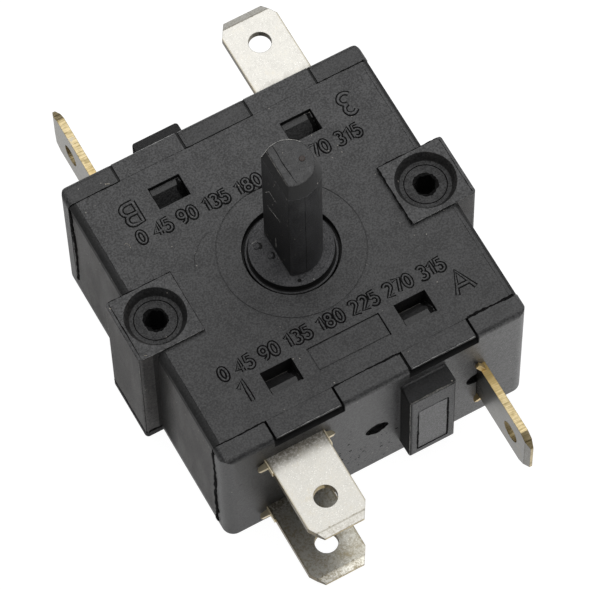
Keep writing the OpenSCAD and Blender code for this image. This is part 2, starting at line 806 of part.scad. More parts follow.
// Rivet that fixes an arm to its foot, with z = 0 on the arm's face
module arm_rivet() {
    grip = arm_t + foot_t;
    cylinder(h = rivet_head_h, r = rivet_head_r);
    translate([0, 0, -grip - rivet_head_h / 2]) cylinder(h = grip + rivet_head_h / 2, r = rivet_r);
    translate([0, 0, -grip - rivet_head_h]) cylinder(h = rivet_head_h, r = rivet_head_r);
}

module fixed_contact_upper() {
    color(SILVER) translate([-flat_x, -arm_y, -upper_depth - blade_t]) {
        scale([1, 1, -1]) contact_rivet(blade_t);
    }
}

module fixed_contact_lower() {
    color(SILVER) translate([-flat_x, -arm_y, -lower_depth]) contact_rivet(blade_t);
}

module moving_contact_upper() {
    color(SILVER) translate([-flat_x, -arm_y, upper_arm_top]) contact_rivet(arm_t);
}

module moving_contact_lower() {
    color(SILVER) translate([-flat_x, -arm_y, lower_arm_bottom]) scale([1, 1, -1]) contact_rivet(arm_t);
}

module upper_arm_rivet() {
    color(SPRING_BRASS) translate([rivet_x, -arm_y, upper_arm_top]) arm_rivet();
}

module lower_arm_rivet() {
    color(SPRING_BRASS) translate([rivet_x, -arm_y, lower_arm_bottom]) scale([1, 1, -1]) arm_rivet();
}

lift() base_housing();
lift() cover();
lift() spindle();
lift() cam_drum();
lift() detent_spring();  // detent_spring_right
lift() rotate(180) detent_spring();  // detent_spring_left
lift() flat_terminal(upper_depth);  // terminal_1
lift() flat_terminal(lower_depth);  // terminal_2
lift() rotate(180) flat_terminal(upper_depth);  // terminal_3
lift() upright_terminal(front_upright_tip, front_hole_back);  // terminal_a
union() {  // terminal_b
    lift() rotate(180) upright_terminal(rear_upright_tip, rear_hole_back);
}
lift() fixed_contact_upper();  // fixed_contact_1
lift() fixed_contact_lower();  // fixed_contact_2
lift() rotate(180) fixed_contact_upper();  // fixed_contact_3
lift() upper_arm();  // contact_arm_1
lift() lower_arm();  // contact_arm_2
lift() rotate(180) upper_arm();  // contact_arm_3
lift() moving_contact_upper();  // moving_contact_1
lift() moving_contact_lower();  // moving_contact_2
lift() rotate(180) moving_contact_upper();  // moving_contact_3
lift() upper_arm_rivet();  // arm_rivet_1
lift() lower_arm_rivet();  // arm_rivet_2
lift() rotate(180) upper_arm_rivet();  // arm_rivet_3
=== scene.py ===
import bpy
import bmesh
import random
from math import cos, pi, sin
from mathutils import Matrix, Vector


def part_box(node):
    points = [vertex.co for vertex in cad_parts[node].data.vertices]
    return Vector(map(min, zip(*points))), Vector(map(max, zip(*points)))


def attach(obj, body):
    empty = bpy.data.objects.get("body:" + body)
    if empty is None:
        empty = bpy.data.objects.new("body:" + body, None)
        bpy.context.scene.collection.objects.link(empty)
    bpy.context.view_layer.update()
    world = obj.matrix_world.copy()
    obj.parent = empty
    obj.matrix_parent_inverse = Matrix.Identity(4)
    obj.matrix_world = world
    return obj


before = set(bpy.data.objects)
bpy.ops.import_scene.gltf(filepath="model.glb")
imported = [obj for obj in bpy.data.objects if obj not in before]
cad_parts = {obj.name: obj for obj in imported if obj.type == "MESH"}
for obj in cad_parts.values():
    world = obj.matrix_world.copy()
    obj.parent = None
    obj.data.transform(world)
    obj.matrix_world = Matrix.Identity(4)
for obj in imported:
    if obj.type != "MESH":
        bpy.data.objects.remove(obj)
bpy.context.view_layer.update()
random.seed(4)
mm = 0.001


# Table and light
# The switch stands on a plain pale sheet under one wide soft light. The sheet turns white where it is seen
# directly or in something glossy, and keeps the switch's soft shadow.

class Value:
    """A shader socket that takes part in Python arithmetic."""

    def __init__(self, graph, socket):
        self.graph = graph
        self.socket = socket

    def out(self, name):
        return Value(self.graph, self.socket.node.outputs[name])

    def math(self, operation, a, b=0.0):
        return self.graph.node("ShaderNodeMath", {"operation": operation}, {0: a, 1: b})

    def __add__(self, other):
        return self.math("ADD", self, other)

    def __sub__(self, other):
        return self.math("SUBTRACT", self, other)

    def __rsub__(self, other):
        return self.math("SUBTRACT", other, self)

    def __mul__(self, other):
        return self.math("MULTIPLY", self, other)

    def __gt__(self, other):
        return self.math("GREATER_THAN", self, other)

    def __lt__(self, other):
        return self.math("LESS_THAN", self, other)

    def __or__(self, other):
        return self.math("MAXIMUM", self, other)

    def __abs__(self):
        return self.math("ABSOLUTE", self)

    __radd__ = __add__
    __rmul__ = __mul__


class Graph:
    """The nodes of a material or of the world."""

    def __init__(self, tree):
        self.tree = tree

    def node(self, kind, settings=None, values=None, out=0):
        made = self.tree.nodes.new(kind)
        for name, setting in (settings or {}).items():
            setattr(made, name, setting)
        for key, value in (values or {}).items():
            self.put(made, key, value)
        return Value(self, made.outputs[out])

    def put(self, made, key, value):
        if isinstance(value, Value):
            self.tree.links.new(value.socket, made.inputs[key])
        else:
            wide = made.inputs[key].type == "RGBA" and len(value) == 3
            made.inputs[key].default_value = (*value, 1) if wide else value

    def end_in(self, output, value):
        """Links a finished shader to the tree's own output node."""
        self.tree.links.new(value.socket, self.tree.nodes[output].inputs["Surface"])


class Finish(Graph):
    """A material in the making, whose surface is measured in millimetres."""

    def __init__(self, name):
        self.material = bpy.data.materials.new(name)
        self.material.use_nodes = True
        super().__init__(self.material.node_tree)
        self.shader = self.tree.nodes["Principled BSDF"]

    def set(self, **values):
        for key, value in values.items():
            self.put(self.shader, key.replace("_", " "), value)
        return self

    def spot(self, stretch=(1, 1, 1)):
        """The place on the object, in millimetres, stretched for lines and streaks."""
        scale = tuple(s / mm for s in stretch)
        place = self.node("ShaderNodeTexCoord", out="Object")
        return self.node("ShaderNodeVectorMath", {"operation": "MULTIPLY"}, {0: place, 1: scale})

    def axes(self, vector):
        first = self.node("ShaderNodeSeparateXYZ", {}, {0: vector})
        return first, first.out("Y"), first.out("Z")

    def facing(self):
        """The three parts of the surface's outward direction."""
        return self.axes(self.node("ShaderNodeTexCoord", out="Normal"))

    def reach(self, x, y):
        """The distance from an axis."""
        flat = self.node("ShaderNodeCombineXYZ", {}, {0: x, 1: y})
        return self.node("ShaderNodeVectorMath", {"operation": "LENGTH"}, {0: flat}, out="Value")

    def noise(self, where, scale, detail=2.0, rough=0.5):
        return self.node("ShaderNodeTexNoise", {}, {
            "Vector": where, "Scale": scale, "Detail": detail, "Roughness": rough})

    def rise(self, value, low, high):
        """A soft step from 0 to 1 as the value goes from low to high."""
        return self.node("ShaderNodeMapRange", {"interpolation_type": "SMOOTHSTEP"}, {
            "Value": value, "From Min": low, "From Max": high})

    def mix(self, factor, a, b):
        return self.node("ShaderNodeMix", {"data_type": "RGBA"}, {0: factor, 6: a, 7: b}, out=2)

    def tint(self, colour, mask, times):
        """The colour, multiplied by times where the mask is 1."""
        factor = self.mix(mask, (1, 1, 1), times)
        return self.node("ShaderNodeVectorMath", {"operation": "MULTIPLY"}, {0: colour, 1: factor})

    def bump(self, height, depth, edge=0.05):
        """A relief of the given depth on rounded edges of the given radius, in millimetres."""
        rounded = self.node("ShaderNodeBevel", {"samples": 4}, {"Radius": edge * mm})
        return self.node("ShaderNodeBump", {}, {"Height": height, "Distance": depth * mm, "Normal": rounded})


paper = Finish("paper")
fibre = paper.noise(paper.spot(), 0.6, 4, 0.6)
paper.set(Base_Color=paper.mix(fibre, (0.80, 0.80, 0.80), (0.86, 0.86, 0.855)), Roughness=0.9)
rays = paper.node("ShaderNodeLightPath", out="Is Camera Ray")
mirrored = rays.out("Is Glossy Ray") | rays.out("Is Transmission Ray")
paper_x, paper_y, _ = paper.axes(paper.spot())
# In glossy reflections the sheet glows more towards its front right: a painted fall of light across it.
brighter = paper.rise(paper_x - paper_y, -40, 50) * 0.7 + 0.45
seen = rays | mirrored * brighter
white = (1, 1, 1)
glow = paper.node("ShaderNodeEmission", {}, {"Color": white, "Strength": 1.2})
lit = Value(paper, paper.shader.outputs[0])
sheet = paper.node("ShaderNodeMixShader", {}, {0: seen * 0.8, 1: lit, 2: glow})
paper.end_in("Material Output", sheet)
bpy.ops.mesh.primitive_plane_add(size=6)
floor = bpy.context.object
floor.name = "floor"
floor.location.z = -0.02 * mm
floor.data.materials.append(paper.material)

world = bpy.data.worlds.new("studio")
bpy.context.scene.world = world
world.use_nodes = True
room = Graph(world.node_tree)
dim = room.tree.nodes["Background"]
room.put(dim, "Strength", 0.15)
room.put(dim, "Color", white)
direct = room.node("ShaderNodeLightPath", out="Is Camera Ray")
clear = room.node("ShaderNodeBackground", {}, {"Color": white, "Strength": 1.0})
air = room.node("ShaderNodeMixShader", {}, {0: direct, 1: Value(room, dim.outputs[0]), 2: clear})
room.end_in("World Output", air)

lamp_data = bpy.data.lights.new("ceiling", "AREA")
lamp_data.shape = "DISK"
lamp_data.size = 2.0
lamp_data.energy = 13.5
lamp = bpy.data.objects.new("ceiling", lamp_data)
bpy.context.collection.objects.link(lamp)
lamp.location = (0.28, 0.2, 1.0)
lamp.rotation_euler = lamp.location.to_track_quat("Z", "Y").to_euler()


# Camera
# The photograph's own angle: a long lens, high over the front left side of the switch. The place and the
# directions were solved from points on the case, the shaft and the blades.

camera_place = Vector((-90.215, -174.721, 417.423)) * mm
camera_back = Vector((-0.19870828, -0.38389151, 0.90174405))
camera_up = Vector((0.44246096, 0.78584883, 0.43205314))
camera_right = camera_up.cross(camera_back)
sensor = 36
picture_width = 590
focal_length_in_pixels = 4588
camera_data = bpy.data.cameras.new("camera")
camera_data.sensor_width = sensor
camera_data.lens = focal_length_in_pixels / picture_width * sensor
camera = bpy.data.objects.new("camera", camera_data)
bpy.context.collection.objects.link(camera)
turn = Matrix((camera_right, camera_up, camera_back)).transposed()
camera.matrix_world = Matrix.Translation(camera_place) @ turn.to_4x4()
bpy.context.scene.camera = camera
bpy.context.scene.view_settings.view_transform = "Standard"


# Base housing
# A black moulding of glass-filled nylon, satin outside. It carries the notched front and rear walls, the two
# latch keepers and the plates under the screw bosses. Dark ragged lines of painted shade stand along its seams.

def moulded(name, dark, light, roughness, grain=0.02, dust=0.06, zones=None, edge=0.05):
    """Black moulded plastic: a fine grain, faint cloudy patches and a few specks of dust. Each zone is a mask
    with the tint, the change of roughness and the coarser grain that it brings; many zones paint light and
    shade."""
    finish = Finish(name)
    spot = finish.spot()
    fine = finish.noise(spot, 5.5, 3, 0.7)
    cloud = finish.noise(spot, 0.4, 3, 0.6)
    cell = finish.node("ShaderNodeTexVoronoi", {}, {"Vector": spot, "Scale": 1.8})
    chance, _, size = finish.axes(cell.out("Color"))
    dust_colour = (0.40, 0.37, 0.33)
    speck = (chance < dust) * (cell < size * 0.14 + 0.04)
    tone = finish.rise(fine * 0.85 + cloud * 0.3, 0.42, 0.74)
    bare = finish.mix(tone, dark, light)
    rough = cloud * 0.16 + fine * 0.1 + (roughness - 0.13)
    relief = fine
    for mask, times, change, grit in zones(finish) if zones else []:
        bare = finish.tint(bare, mask, times)
        rough = rough + mask * change
        if grit:
            relief = relief + fine * mask * grit
    finish.set(Base_Color=finish.mix(speck * 0.8, bare, dust_colour), Roughness=rough)
    finish.set(Normal=finish.bump(relief + speck * 2.0, grain, edge))
    return finish


def dress(finish, *nodes):
    """Gives CAD nodes their material."""
    for node in nodes:
        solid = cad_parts[node]
        if not solid.material_slots:
            solid.data.materials.append(finish.material)
        for slot in solid.material_slots:
            slot.material = finish.material


def link(name, mesh):
    """Turns a finished bmesh into an object of the scene."""
    data = bpy.data.meshes.new(name)
    bmesh.ops.recalc_face_normals(mesh, faces=mesh.faces)
    mesh.to_mesh(data)
    mesh.free()
    made = bpy.data.objects.new(name, data)
    bpy.context.collection.objects.link(made)
    return made


def steps(corners, step=0.2):
    """Points every step millimetres or so along the straight runs between corners."""
    points = []
    for start, end in zip(corners, corners[1:]):
        start, end = Vector(start), Vector(end)
        count = max(1, round((end - start).length / step))
        points += [start.lerp(end, i / count) for i in range(count)]
    return points + [Vector(corners[-1])]


def bow(x, y, across, up, start, stop, count=16):
    """Points along part of an oval, between two angles in degrees."""
    turns = [(start + (stop - start) * k / count) * pi / 180 for k in range(count + 1)]
    return [(x + across * cos(t), y + up * sin(t)) for t in turns]


def strip(mesh, points, up, width, height, closed=False, ragged=0.0):
    """Adds to mesh a low ridge on a face whose outward direction is up, along points in millimetres. A ragged
    one sways and swells on its way."""
    up = Vector(up).normalized()
    sunk = up * 0.02
    count = len(points)
    rows = []
    sway = swell = 0.0
    for i, point in enumerate(points):
        sway = 0.7 * sway + random.uniform(-0.4, 0.4) * ragged
        swell = 0.7 * swell + random.uniform(-0.42, 0.38) * ragged
        here = Vector(point)
        before = Vector(points[i - 1]) if i or closed else here
        after = Vector(points[(i + 1) % count]) if i + 1 < count or closed else here
        side = (after - before).normalized().cross(up) * width / 2
        here += side * sway * 0.6
        side *= max(0.12, 1 + swell)
        top = up * height * (1 + ragged * random.uniform(-0.5, 0.5))
        section = [here + side - sunk, here + side * 0.5 + top, here - side * 0.5 + top, here - side - sunk]
        rows.append([mesh.verts.new(p * mm) for p in section])
    for i in range(count if closed else count - 1):
        near, far = rows[i], rows[(i + 1) % count]
        for k in range(4):
            mesh.faces.new((near[k], near[(k + 1) % 4], far[(k + 1) % 4], far[k]))
    if not closed:
        mesh.faces.new(rows[0][::-1])
        mesh.faces.new(rows[-1])


def ridge(name, points, up, width, height, closed=False, ragged=0.0):
    """One such ridge as a piece of its own."""
    mesh = bmesh.new()
    strip(mesh, points, up, width, height, closed, ragged)
    return link(name, mesh)


def slab(name, one, other):
    """A plain box between two opposite corners in millimetres."""
    mesh = bmesh.new()
    middle = (Vector(one) + Vector(other)) / 2
    size = Vector([abs(a - b) for a, b in zip(one, other)])
    place = Matrix.Translation(middle * mm) @ Matrix.Diagonal((*(size * mm), 1))
    bmesh.ops.create_cube(mesh, size=1, matrix=place)
    return link(name, mesh)


def finished(piece, finish, body):
    """Gives a piece its material and ties it to its body."""
    piece.data.materials.append(finish.material)
    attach(piece, body)


def ragged_lines(finish, body, lines):
    """Ragged lines, each with its corners, outward direction, width and height: painted shade and glints along
    gaps and edges, and parting lines, scratches, burrs, lint and flecks.
    """
    for name, (corners, up, width, height) in lines.items():
        finished(ridge(name, steps(corners), up, width, height, ragged=1.0), finish, body)


upward = (0, 0, 1)
cover_top = 17.5
wall_y = 17
wall_end = 16.3
seam_y = 14.76
notch_near, notch_far = 3.6, 11.2
notch_floor = 16.02
tongue_centre = 7.4
keeper_from, keeper_y = 17.15, 19.06
core_x, core_z = 11.24, 8.0
catch_x, catch_y = 7.37, 11.38
hook_near, hook_far, hook_foot, hook_head = 3.37, 6.75, 3.5, 12.22
thin = 0.012


def housing_zones(finish):
    """Painted light on the wall's right end, painted shade and a painted highlight on the keepers, stains, and
    painted shade inside and in the notches.
    """
    x, y, z = finish.axes(finish.spot())
    facing_x, facing_y, _ = finish.facing()
    wall = finish.rise(abs(facing_y), 0.5, 0.9)
    lighter = finish.rise(x, -12, 16) * wall
    keeper = finish.rise(abs(y), keeper_from, keeper_from + 0.15)
    frame_face = finish.rise(abs(facing_y), 0.85, 0.97)
    stain = finish.rise(finish.noise(finish.spot(), 2.6, 3, 0.7), 0.63, 0.7) * wall
    inside = (abs(y) < 13.2) * (z < cover_top - 0.3)
    notch = (abs(abs(x) - tongue_centre) < 3.87) * (z < cover_top - 0.03) * (z > notch_floor) * (abs(y) > 14.7)
    return [
        # Painted light: the wall lighter towards its right end, as if lit from there.
        (lighter * (1 - keeper), (2.6, 2.6, 2.55), 0.0, 0),
        # Painted shade on the keepers' tops and sides; a painted highlight on their front frames.
        (keeper * (1 - frame_face), (0.3, 0.3, 0.31), 0.2, 1.5),
        (keeper * finish.rise(abs(facing_x), 0.5, 0.9), (0.1, 0.1, 0.1), 0.4, 0),
        (keeper * frame_face, (2.2, 2.2, 2.2), 0.1, 1.0),
        (stain, (0.35, 0.35, 0.35), 0.2, 0),
        (abs(x) > 16.9, (0.25, 0.25, 0.25), 0.3, 0),
        # Painted shade inside the housing and in the notches under the tongues.
        (inside, (0.5, 0.5, 0.5), 0.0, 0),
        (notch, (0.1, 0.1, 0.1), 0.3, 0),
    ]


housing = moulded("housing_black", (0.010, 0.010, 0.0105), (0.058, 0.058, 0.059), 0.40, 0.05, 0.07,
                  zones=housing_zones)
# Near black: painted shade in seams, gaps, holes and along steps and edges, and the real soil spots, flow line
# and mould lines.
painted_shade_and_mark_black = moulded("painted_shade_and_mark_black", (0.002, 0.002, 0.002), (0.01, 0.01, 0.01), 0.8, 0.01, 0.0)
painted_shade_and_mark_black.set(Specular_IOR_Level=0.05)
# Light grey for painted glints along edges.
painted_glint_grey = moulded("painted_glint_grey", (0.16, 0.16, 0.16), (0.50, 0.50, 0.49), 0.36, 0.02, 0.0)
# Lighter lines along edges: painted highlights where edges catch the light, and burrs.
edge_glint_and_wear_black = moulded("edge_glint_and_wear_black", (0.05, 0.048, 0.044), (0.22, 0.21, 0.19), 0.4, 0.02, 0.0)
dress(housing, "base_housing")

for end in (-1, 1):
    side_name = "front" if end < 0 else "rear"
    wide = 0.26 if end < 0 else 0.17
    for part, start, stop, share in [("left", -wall_end, -notch_far, 1),
                                     ("middle", -notch_near, notch_near, 0.8),
                                     ("right", notch_far, wall_end, 1.3)]:
        # Painted shade: a dark ragged line along the seam between the cover and the wall.
        seam = [(start, end * seam_y, cover_top), (stop, end * seam_y, cover_top)]
        ragged_lines(painted_shade_and_mark_black, "case", {
            "seam_%s_%s" % (part, side_name): (seam, upward, wide * share, thin),
        })
    # Painted shade: a dark ragged ring round each core hole in the wall.
    for x in (0, -end * core_x):
        outline = [(x + 1.17 * cos(a), end * wall_y, core_z + 0.86 * sin(a) * (1 - 0.35 * cos(a) ** 2))
                   for a in [2 * pi * k / 28 for k in range(28)]]
        burr = ridge("core_hole_shade_%s_%d" % (side_name, abs(x)), outline, (0, end, 0), 0.32, 0.03, True, 1.3)
        finished(burr, painted_shade_and_mark_black, "case")
    for side in (-1, 1):
        catch = "catch_%s_%s" % (side_name, "left" if side < 0 else "right")
        x = side * catch_x
        gap_x = x + 1.36
        slope_from, slope_to = (gap_x, end * 11.85, 17.15), (gap_x, end * 10.42, 15.72)
        # A painted highlight along the catch's lower edge.
        ragged_lines(edge_glint_and_wear_black, "case", {
            catch + "_edge": ([(x - 1.5, end * 10.44, 15.74), (x + 1.1, end * 10.44, 15.74)],
                              (0, -end, 1), 0.09, thin),
        })
        # Painted shade in the gap beside the catch.
        ragged_lines(painted_shade_and_mark_black, "case", {
            catch + "_gap_level": ([(gap_x, end * 12.45, 17.15), slope_from], upward, 0.6, 0.01),
            catch + "_gap_slope": ([slope_from, slope_to], (0, -end, 1), 0.6, 0.01),
        })
    # Painted shade: a dark line in the gap round the latch hook.
    hook = [(end * -x, end * 19.1, z) for x, z in [
        (hook_near, hook_foot), (hook_near, hook_head), (hook_far, hook_head), (hook_far, hook_foot),
        (hook_near, hook_foot)]]
    ragged_lines(painted_shade_and_mark_black, "case", {"latch_line_" + side_name: (hook, (0, end, 0), 0.2, thin)})
    cheek = slab("latch_cheek_" + side_name, (-end * 3.12, end * 14.85, 17.2),
                 (-end * 3.58, end * 16.62, 17.48))
    finished(cheek, housing, "case")
soil = bmesh.new()
for _ in range(26):
    x, z, size = random.uniform(-4.5, 2.2), max(1.0, random.gauss(4.6, 2.0)), random.uniform(0.05, 0.3)
    middle_z = z + random.uniform(-0.1, 0.1)
    spots = [(x - size / 2, -wall_y, z), (x, -wall_y, middle_z), (x + size / 2, -wall_y, z)]
    strip(soil, spots, (0, -1, 0), 0.6 * size + 0.08, thin, False, 0.8)
finished(link("wall_soil", soil), painted_shade_and_mark_black, "case")
# Painted highlights: lighter ragged lines along the keeper's top and side edges.
ragged_lines(edge_glint_and_wear_black, "case", {
    "keeper_edge_top": ([(2.55, -keeper_y, 14.98), (7.55, -keeper_y, 14.98)], (0, -1, 1), 0.12, thin),
    "keeper_edge_side": ([(2.48, -keeper_y, 2.8), (2.48, -keeper_y, 14.9)], (-1, -1, 0), 0.09, thin),
})
# Painted shade: a dark block in the slit beside the front tongue.
slit = slab("latch_slit_front", (3.58, -16.7, 17.0), (3.86, -14.85, 17.35))
finished(slit, painted_shade_and_mark_black, "case")
for number, x in enumerate([-11.08, -3.72, 3.72, 11.08]):
    filler = ridge("notch_flash_%d" % number, steps([(x, 14.85, 17.3), (x, 16.8, 17.25)]), upward, 0.42, 0.1)
    finished(filler, housing, "case")


# Blade terminals
# Blanked from brass strip that was tin-plated first: silvery faces with fine scratches, and golden cut edges
# with the striations of the shear. Lugs staked against the wall hold them.

lying, upright = 2, 0
blade_tip, longer_blade_tip = 26.9, 28.6
lug_from, lug_reach = 3.2, 20
grey_tin, pale_tin = (0.42, 0.41, 0.38), (0.70, 0.69, 0.655)


def blade_metal(mark, name, face_axis, side, tip, hole_back, light, stained=0.3, gold=1.0, sheen=0.0):
    """Tinned brass of a blade whose broad faces look along face_axis, whose tip lies at side * tip and whose
    hole lies hole_back behind it. The shares say how far painted light brightens or painted shade darkens the
    tin, how stained it is, how golden its cut edges are, and how much a painted sheen brightens one corner."""
    finish = Finish(name)
    spot = finish.spot()
    x, y, z = finish.axes(spot)
    out = y * side
    low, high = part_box("terminal_" + mark)
    across = x if face_axis == lying else z
    centre = (low[2 - face_axis] + high[2 - face_axis]) / 2 / mm
    off_centre = abs(across - centre)
    lug = (off_centre > lug_from) * (out < lug_reach)
    rim = finish.rise(off_centre, 2.95, 3.12) * (1 - lug)
    bore = finish.reach(off_centre, out - (tip - hole_back)) < 1.21
    edge = 1 - finish.rise(abs(finish.facing()[face_axis]), 0.45, 0.7)
    scratch = finish.noise(finish.spot((5, 0.5, 5)), 1, 3, 0.7)
    pit = finish.noise(spot, 5, 4, 0.65)
    patch = finish.noise(spot, 0.7, 3, 0.6)
    striation = finish.noise(finish.spot((0.8, 9, 0.8)), 1, 2, 0.6)
    worn = finish.rise(pit + patch, 1.1, 1.3)
    wander = out + pit * 0.3 - 0.15
    bevel = finish.rise(wander, tip - 0.9, tip - 0.74)
    root = 1 - finish.rise(out, 18, 22)
    # Darker towards the root by the wall: part dust, part painted shade.
    root_dust_and_shade = (1 - finish.rise(out + patch * 1.6, 18.1, 19.8)) * finish.rise(pit, 0.25, 0.6)
    spark = finish.rise(finish.noise(spot, 9, 2, 0.8), 0.57, 0.66)
    speckle = finish.rise(pit * (bevel + 0.6) + patch * 0.4, 0.3, 0.9)
    tin = finish.mix(speckle | spark * 0.9, tuple(light * c for c in grey_tin),
                     tuple(light * c for c in pale_tin))
    plated = finish.mix(worn * 0.25, tin, (0.50, 0.44, 0.30))
    plated = finish.tint(plated, root_dust_and_shade, (0.36, 0.34, 0.31))
    plated = finish.tint(plated, rim, (0.7, 0.66, 0.56))
    plated = finish.tint(plated, finish.rise(finish.noise(spot, 13, 2, 0.8), 0.6, 0.68), (0.62, 0.60, 0.57))
    plated = finish.tint(plated, finish.rise(pit + patch * 0.6, 0.62, 1.0) * stained, (0.5, 0.46, 0.38))
    # A painted reflection, brightening the blade towards its tip's right corner.
    bright = finish.rise((across - centre) + (out - 22) * 0.4, -0.5, 3.5)
    plated = finish.tint(plated, bright * sheen, (1.7, 1.7, 1.65))
    sheared = finish.rise(striation * 0.6 + patch * 0.5, 0.35, 0.7)
    brass = finish.mix(sheared, (0.26, 0.20, 0.09), (0.68, 0.56, 0.33))
    smeared = finish.rise(patch + pit * 0.4, 0.78, 0.9) * 0.6 | 1 - gold
    golden = finish.mix(smeared * (1 - root), finish.mix(root * 0.7, brass, (0.66, 0.47, 0.17)), grey_tin)
    # Painted shade on the cut edges that face left.
    golden = finish.tint(golden, finish.facing()[0] < -0.4, (0.25, 0.24, 0.22))
    lug_colour = (0.78, 0.69, 0.50) if face_axis == lying else (0.74, 0.58, 0.30)
    bare = finish.mix(lug, finish.mix(edge, plated, golden), lug_colour)
    # Painted shade on the wall of the hole.
    bare = finish.tint(bare, bore, (0.75, 0.75, 0.75))
    start = bevel * (1 - finish.rise(wander, tip - 0.78, tip - 0.5))
    bare = finish.tint(bare, start * (pit + 0.4) | bevel * pit * 0.8, (0.36, 0.34, 0.29))
    finish.set(Base_Color=bare, Metallic=1.0)
    finish.set(Roughness=scratch * 0.12 + pit * 0.14 + root_dust_and_shade * 0.2 + bore * 0.2 + 0.22)
    finish.set(Normal=finish.bump(pit * (bevel + 0.5) + scratch * 0.3 + edge * striation, 0.006, 0.09))
    return finish


# The light shares are painted light and shade: blade 2, in the shade of blade 1, and the upright blades are
# painted darker, blades 1 and 3 lighter. Blade 2's sheen is a painted reflection.
blades = {
    "1": blade_metal("1", "tinned_brass_front_high", lying, -1, blade_tip, 3.75, light=1.18),
    "2": blade_metal("2", "tinned_brass_front_low", lying, -1, blade_tip, 3.75, light=0.95,
                     stained=1.0, sheen=1.0),
    "3": blade_metal("3", "tinned_brass_rear_high", lying, 1, blade_tip, 3.75, light=1.32,
                     stained=0.15, gold=0.35),
    "a": blade_metal("a", "tinned_brass_front_upright", upright, -1, blade_tip, 3.4, light=0.32, stained=0.5),
    "b": blade_metal("b", "tinned_brass_rear_upright", upright, 1, longer_blade_tip, 4.2, light=0.7),
}
for mark, finish in blades.items():
    dress(finish, "terminal_" + mark)
shoulder_reach = 18.6
longer_shoulder_reach = 20.5
for mark, hand, reach_out in [("1", "left", shoulder_reach), ("1", "right", shoulder_reach),
                              ("2", "left", shoulder_reach), ("2", "right", longer_shoulder_reach)]:
    low, high = (Vector(corner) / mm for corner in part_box("terminal_" + mark))
    centre = (low.x + high.x) / 2
    way = -1 if hand == "left" else 1
    shoulder = slab("shoulder_%s_%s" % (mark, hand), (centre + way * 3.1, -reach_out, high.z - 0.77),
                    (centre + way * 3.3, -16.9, high.z - 0.03))
    finished(shoulder, blades[mark], "case")


# Contacts
# Silver rivet buttons in the blades' inner ends and in the free ends of the brass arms, which are riveted to
# the feet of the upright blades.

def strip_metal(name, dark, light, roughness, grain=0.5):
    """Bright rolled metal with the lines of the roll, between a dark and a light tone."""
    finish = Finish(name)
    roll = finish.noise(finish.spot((0.6, 8, 8)), 1, 3, 0.6)
    stain = finish.noise(finish.spot(), 1.3, 3, 0.6)
    finish.set(Base_Color=finish.mix(finish.rise(roll * 0.5 + stain * 0.6, 0.35, 0.75), dark, light))
    finish.set(Metallic=1.0, Roughness=stain * 0.2 + roughness, Normal=finish.bump(roll * grain, 0.004))
    return finish


silver = strip_metal("contact_silver", (0.66, 0.65, 0.62), (0.88, 0.87, 0.85), 0.22)
arm_brass = strip_metal("spring_brass", (0.50, 0.36, 0.17), (0.78, 0.60, 0.33), 0.24)
rivet_brass = strip_metal("rivet_brass", (0.46, 0.33, 0.16), (0.70, 0.55, 0.30), 0.34, 1.0)
for number in "123":
    dress(silver, "fixed_contact_" + number, "moving_contact_" + number)
    dress(arm_brass, "contact_arm_" + number)
    dress(rivet_brass, "arm_rivet_" + number)


# Detent springs
# Two leaf springs of stainless strip. They stand in slots of the corner blocks and press a nose into the
# notches of the drum.

spring_steel = strip_metal("spring_steel", (0.42, 0.42, 0.43), (0.64, 0.64, 0.65), 0.26)
dress(spring_steel, "detent_spring_left", "detent_spring_right")


# Cam drum
# White acetal, moulded smooth and a little translucent, with a trace of grease where the contact arms ride.

drum = Finish("drum_white")
drum_spot = drum.spot()
flow = drum.noise(drum_spot, 0.5, 3, 0.6)
grease = drum.rise(drum.noise(drum_spot, 1.6, 3, 0.6), 0.5, 0.66)
drum.set(Base_Color=drum.mix(flow, (0.70, 0.69, 0.65), (0.80, 0.79, 0.76)), Roughness=0.45 - grease * 0.25)
drum.set(Subsurface_Weight=0.08, Subsurface_Scale=0.001, Normal=drum.bump(flow, 0.02))
dress(drum, "cam_drum")


# Spindle
# Black acetal, moulded in two mould halves: a parting line runs over the top face and down both sides. The
# gate was broken off on the top, the ejector pins left marks on the hub, and the flat is scratched from use.

def button(name, x, y, z, radius, height):
    """A low round button with a sunk middle, on a level face."""
    mesh = bmesh.new()
    around = 32
    angles = [2 * pi * k / around for k in range(around)]
    rows = []
    for r, h in [(radius, -0.02), (radius, height * 0.5), (radius * 0.8, height), (radius * 0.4, height * 0.6)]:
        rows.append([mesh.verts.new(Vector((x + r * cos(a), y + r * sin(a), z + h)) * mm) for a in angles])
    for lower, upper in zip(rows, rows[1:]):
        for k in range(around):
            mesh.faces.new((lower[k], lower[(k + 1) % around], upper[(k + 1) % around], upper[k]))
    mesh.faces.new(rows[-1])
    mesh.faces.new(rows[0][::-1])
    return link(name, mesh)


shaft_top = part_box("spindle")[1][2] / mm
hub_top = cover_top + 0.45
shaft_r = 3.075
flat_x, flat_x_at_top = -1.575, -1.27
taper_from = shaft_top - 1.7
hub_shoulder = hub_top - 0.5
disc_r = 4.4


